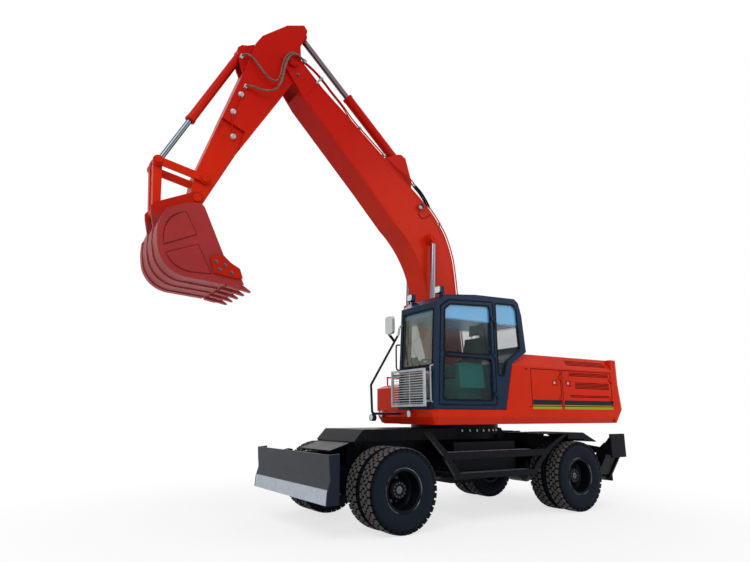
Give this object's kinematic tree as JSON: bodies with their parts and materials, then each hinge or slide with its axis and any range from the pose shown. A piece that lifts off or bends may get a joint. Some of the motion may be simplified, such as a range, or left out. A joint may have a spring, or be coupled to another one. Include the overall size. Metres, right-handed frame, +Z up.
{
  "type": "wheeled excavator",
  "caption": "Wheeled excavator with twin tyres, a front blade, folding rear stabilisers, a swinging house with cab and a boom, stick and bucket.",
  "frame": {"origin": "on the ground under the middle of the machine's overall length and width", "axes": "+X forward, towards the blade and boom; +Y to the operator's left; +Z up"},
  "size_m": [8.0418, 2.652, 7.576],
  "materials": {
    "orange": "gloss",
    "black_paint": "satin",
    "carrier_grey": "satin",
    "rim_black": "satin",
    "tyre": "matt",
    "chrome": "polished",
    "glass": "gloss",
    "seat_cloth": "matt",
    "trim_plastic": "matt",
    "guard_silver": "satin",
    "bucket_orange": "satin",
    "engine_iron": "rough"
  },
  "bodies": {
    "carrier": {"chassis": "carrier_grey", "slew_ring": "carrier_grey", "front_axle": "carrier_grey", "rear_axle": "carrier_grey", "drive_line": "carrier_grey", "steps": "carrier_grey", "side_tanks": "carrier_grey", "rear_fenders": "carrier_grey"},
    "knuckle_left": {"knuckle_left": "carrier_grey"},
    "knuckle_right": {"knuckle_right": "carrier_grey"},
    "tie_rod": {"tie_rod": "carrier_grey"},
    "wheel_front_left": {"tyres_front_left": "tyre", "rims_front_left": "rim_black"},
    "wheel_front_right": {"tyres_front_right": "tyre", "rims_front_right": "rim_black"},
    "wheel_rear_left": {"tyres_rear_left": "tyre", "rims_rear_left": "rim_black"},
    "wheel_rear_right": {"tyres_rear_right": "tyre", "rims_rear_right": "rim_black"},
    "blade_arms": {"blade_arms": "carrier_grey"},
    "blade_links": {"blade_links": "carrier_grey"},
    "blade": {"blade": "carrier_grey"},
    "blade_ram_barrels": {"blade_ram_barrels": "carrier_grey"},
    "blade_ram_rods": {"blade_ram_rods": "chrome"},
    "leg_left": {"leg_left": "carrier_grey"},
    "leg_right": {"leg_right": "carrier_grey"},
    "leg_ram_barrel_left": {"leg_ram_barrel_left": "carrier_grey"},
    "leg_ram_barrel_right": {"leg_ram_barrel_right": "carrier_grey"},
    "leg_ram_rod_left": {"leg_ram_rod_left": "chrome"},
    "leg_ram_rod_right": {"leg_ram_rod_right": "chrome"},
    "house": {"deck": "orange", "counterweight": "orange", "engine_cover": "orange", "engine_block": "engine_iron", "fuel_and_oil_tanks": "orange", "tool_box": "orange", "cab": "black_paint", "cab_glass": "glass", "seat": "seat_cloth", "seat_base": "trim_plastic", "front_guard": "guard_silver", "mirror_rail": "black_paint"},
    "cab_door": {"cab_door": "black_paint", "door_glass": "glass"},
    "pump_door_left": {"pump_door_left": "orange"},
    "pump_door_right": {"pump_door_right": "orange"},
    "radiator_door_left": {"radiator_door_left": "orange"},
    "radiator_door_right": {"radiator_door_right": "orange"},
    "hood_lid": {"hood_lid": "orange"},
    "boom": {"boom": "orange"},
    "boom_ram_barrels": {"boom_ram_barrels": "orange"},
    "boom_ram_rods": {"boom_ram_rods": "chrome"},
    "arm_ram_barrel": {"arm_ram_barrel": "orange"},
    "arm_ram_rod": {"arm_ram_rod": "chrome"},
    "stick": {"stick": "orange"},
    "bucket_ram_barrel": {"bucket_ram_barrel": "orange"},
    "bucket_ram_rod": {"bucket_ram_rod": "chrome"},
    "idler_links": {"idler_links": "orange"},
    "bucket_link": {"bucket_link": "orange"},
    "bucket": {"bucket": "bucket_orange"}
  },
  "joints": [
    {"name": "swing", "type": "hinge", "parent": "carrier", "child": "house", "pos_m": [-1.08, 0, 1.335], "axis": [0, 0, 1], "continuous": true},
    {"name": "steer_left", "type": "hinge", "parent": "carrier", "child": "knuckle_left", "pos_m": [0.847, 0.6, 0.53], "axis": [0, 0, 1], "range_deg": [-30, 30]},
    {"name": "steer_right", "type": "hinge", "parent": "carrier", "child": "knuckle_right", "pos_m": [0.847, -0.6, 0.53], "axis": [0, 0, 1], "range_deg": [-30.05, 30.05]},
    {"name": "tie_rod_slide", "type": "slide", "parent": "carrier", "child": "tie_rod", "axis": [0, 1, 0], "range_m": [-0.12666, 0.12666]},
    {"name": "roll_front_left", "type": "hinge", "parent": "knuckle_left", "child": "wheel_front_left", "pos_m": [0.847, 1, 0.53], "axis": [0, 1, 0], "continuous": true},
    {"name": "roll_front_right", "type": "hinge", "parent": "knuckle_right", "child": "wheel_front_right", "pos_m": [0.847, -1, 0.53], "axis": [0, 1, 0], "continuous": true},
    {"name": "roll_rear_left", "type": "hinge", "parent": "carrier", "child": "wheel_rear_left", "pos_m": [-2.536, 1, 0.53], "axis": [0, 1, 0], "continuous": true},
    {"name": "roll_rear_right", "type": "hinge", "parent": "carrier", "child": "wheel_rear_right", "pos_m": [-2.536, -1, 0.53], "axis": [0, 1, 0], "continuous": true},
    {"name": "blade_lower", "type": "hinge", "parent": "carrier", "child": "blade_arms", "pos_m": [1.23, 0, 0.47], "axis": [0, 1, 0], "range_deg": [0, 50]},
    {"name": "blade_link_turn", "type": "hinge", "parent": "carrier", "child": "blade_links", "pos_m": [1.23, 0, 0.73], "axis": [0, 1, 0], "range_deg": [-0.05, 50.05]},
    {"name": "blade_turn", "type": "hinge", "parent": "blade_arms", "child": "blade", "pos_m": [1.742, 0, 0.698], "axis": [0, 1, 0], "range_deg": [-50.05, 0.05]},
    {"name": "blade_ram_turn", "type": "hinge", "parent": "carrier", "child": "blade_ram_barrels", "pos_m": [1.3, 0, 0.97], "axis": [0, 1, 0], "range_deg": [-0.05, 12.2]},
    {"name": "blade_ram_slide", "type": "slide", "parent": "blade_ram_barrels", "child": "blade_ram_rods", "axis": [0.5337, 0, -0.8457], "range_m": [-0.001, 0.25892]},
    {"name": "leg_left_lower", "type": "hinge", "parent": "carrier", "child": "leg_left", "pos_m": [-3.665, 0.795, 0.43], "axis": [-1, 0, 0], "range_deg": [0, 90]},
    {"name": "leg_ram_turn_left", "type": "hinge", "parent": "carrier", "child": "leg_ram_barrel_left", "pos_m": [-3.665, 0.3, 0.93], "axis": [-1, 0, 0], "range_deg": [-0.05, 30.25]},
    {"name": "leg_ram_slide_left", "type": "slide", "parent": "leg_ram_barrel_left", "child": "leg_ram_rod_left", "axis": [0, 0.9935, -0.1135], "range_m": [-0.001, 0.49988]},
    {"name": "leg_right_lower", "type": "hinge", "parent": "carrier", "child": "leg_right", "pos_m": [-3.665, -0.795, 0.43], "axis": [1, 0, 0], "range_deg": [0, 90]},
    {"name": "leg_ram_turn_right", "type": "hinge", "parent": "carrier", "child": "leg_ram_barrel_right", "pos_m": [-3.665, -0.3, 0.93], "axis": [1, 0, 0], "range_deg": [-0.05, 30.25]},
    {"name": "leg_ram_slide_right", "type": "slide", "parent": "leg_ram_barrel_right", "child": "leg_ram_rod_right", "axis": [0, -0.9935, -0.1135], "range_m": [-0.001, 0.49988]},
    {"name": "cab_door_open", "type": "hinge", "parent": "house", "child": "cab_door", "pos_m": [-0.8145, 1.314, 2.3], "axis": [0, 0, 1], "range_deg": [0, 165]},
    {"name": "pump_door_left_open", "type": "hinge", "parent": "house", "child": "pump_door_left", "pos_m": [-2.2265, 1.314, 1.9], "axis": [0, 0, 1], "range_deg": [0, 110]},
    {"name": "radiator_door_left_open", "type": "hinge", "parent": "house", "child": "radiator_door_left", "pos_m": [-3.5065, 1.314, 1.9], "axis": [0, 0, 1], "range_deg": [0, 110]},
    {"name": "pump_door_right_open", "type": "hinge", "parent": "house", "child": "pump_door_right", "pos_m": [-2.2265, -1.314, 1.9], "axis": [0, 0, -1], "range_deg": [0, 110]},
    {"name": "radiator_door_right_open", "type": "hinge", "parent": "house", "child": "radiator_door_right", "pos_m": [-3.5065, -1.314, 1.9], "axis": [0, 0, -1], "range_deg": [0, 110]},
    {"name": "hood_lid_open", "type": "hinge", "parent": "house", "child": "hood_lid", "pos_m": [-2.3335, 0, 2.414], "axis": [0, 1, 0], "range_deg": [0, 75]},
    {"name": "boom_raise", "type": "hinge", "parent": "house", "child": "boom", "pos_m": [-0.98, 0, 1.95], "axis": [0, -1, 0], "range_deg": [-75, 5]},
    {"name": "boom_ram_turn", "type": "hinge", "parent": "house", "child": "boom_ram_barrels", "pos_m": [-0.35, 0, 1.6], "axis": [0, -1, 0], "range_deg": [-74.75, 5.03]},
    {"name": "boom_ram_slide", "type": "slide", "parent": "boom_ram_barrels", "child": "boom_ram_rods", "axis": [-0.0434, 0, 0.9991], "range_m": [-0.88339, 0.05983]},
    {"name": "stick_in", "type": "hinge", "parent": "boom", "child": "stick", "pos_m": [2.135, 0, 6.8], "axis": [0, 1, 0], "range_deg": [-82, 22]},
    {"name": "arm_ram_turn", "type": "hinge", "parent": "boom", "child": "arm_ram_barrel", "pos_m": [0.01, 0, 5.73], "axis": [0, 1, 0], "range_deg": [-0.7, 2.48]},
    {"name": "arm_ram_slide", "type": "slide", "parent": "arm_ram_barrel", "child": "arm_ram_rod", "axis": [0.7336, 0, 0.6796], "range_m": [-0.91495, 0.2462]},
    {"name": "bucket_curl", "type": "hinge", "parent": "stick", "child": "bucket", "pos_m": [3.42, 0, 4.3], "axis": [0, 1, 0], "range_deg": [-75, 65]},
    {"name": "idler_turn", "type": "hinge", "parent": "stick", "child": "idler_links", "pos_m": [3.33, 0, 4.6], "axis": [0, 1, 0], "range_deg": [-65.41, 56.7]},
    {"name": "bucket_link_turn", "type": "hinge", "parent": "idler_links", "child": "bucket_link", "pos_m": [3.95, 0, 4.72], "axis": [0, 1, 0], "range_deg": [-18.96, 21.87]},
    {"name": "bucket_ram_turn", "type": "hinge", "parent": "stick", "child": "bucket_ram_barrel", "pos_m": [2.88, 0, 6.83], "axis": [0, 1, 0], "range_deg": [-3.23, 2.81]},
    {"name": "bucket_ram_slide", "type": "slide", "parent": "bucket_ram_barrel", "child": "bucket_ram_rod", "axis": [0.4523, 0, -0.8919], "range_m": [-0.6144, 0.53261]}
  ],
  "couplings": [
    {"joint": "steer_right", "follows": "steer_left", "ratio": 1},
    {"joint": "tie_rod_slide", "follows": "steer_left", "m_per_rad": 0.24},
    {"joint": "blade_link_turn", "follows": "blade_lower", "ratio": 1},
    {"joint": "blade_turn", "follows": "blade_lower", "ratio": -1},
    {"joint": "blade_ram_turn", "follows": "blade_lower", "ratio": 0.24292},
    {"joint": "blade_ram_slide", "follows": "blade_lower", "m_per_rad": 0.29555},
    {"joint": "leg_ram_turn_left", "follows": "leg_left_lower", "ratio": 0.3355},
    {"joint": "leg_ram_slide_left", "follows": "leg_left_lower", "m_per_rad": 0.3176},
    {"joint": "leg_ram_turn_right", "follows": "leg_right_lower", "ratio": 0.3355},
    {"joint": "leg_ram_slide_right", "follows": "leg_right_lower", "m_per_rad": 0.3176},
    {"joint": "boom_ram_turn", "follows": "boom_raise", "ratio": 0.996},
    {"joint": "boom_ram_slide", "follows": "boom_raise", "m_per_rad": 0.6741},
    {"joint": "arm_ram_turn", "follows": "stick_in", "ratio": -0.0297},
    {"joint": "arm_ram_slide", "follows": "stick_in", "m_per_rad": 0.6386},
    {"joint": "idler_turn", "follows": "bucket_curl", "ratio": 0.8715},
    {"joint": "bucket_link_turn", "follows": "bucket_curl", "ratio": -0.2909},
    {"joint": "bucket_ram_turn", "follows": "bucket_curl", "ratio": 0.0424},
    {"joint": "bucket_ram_slide", "follows": "bucket_curl", "m_per_rad": 0.4686}
  ]
}
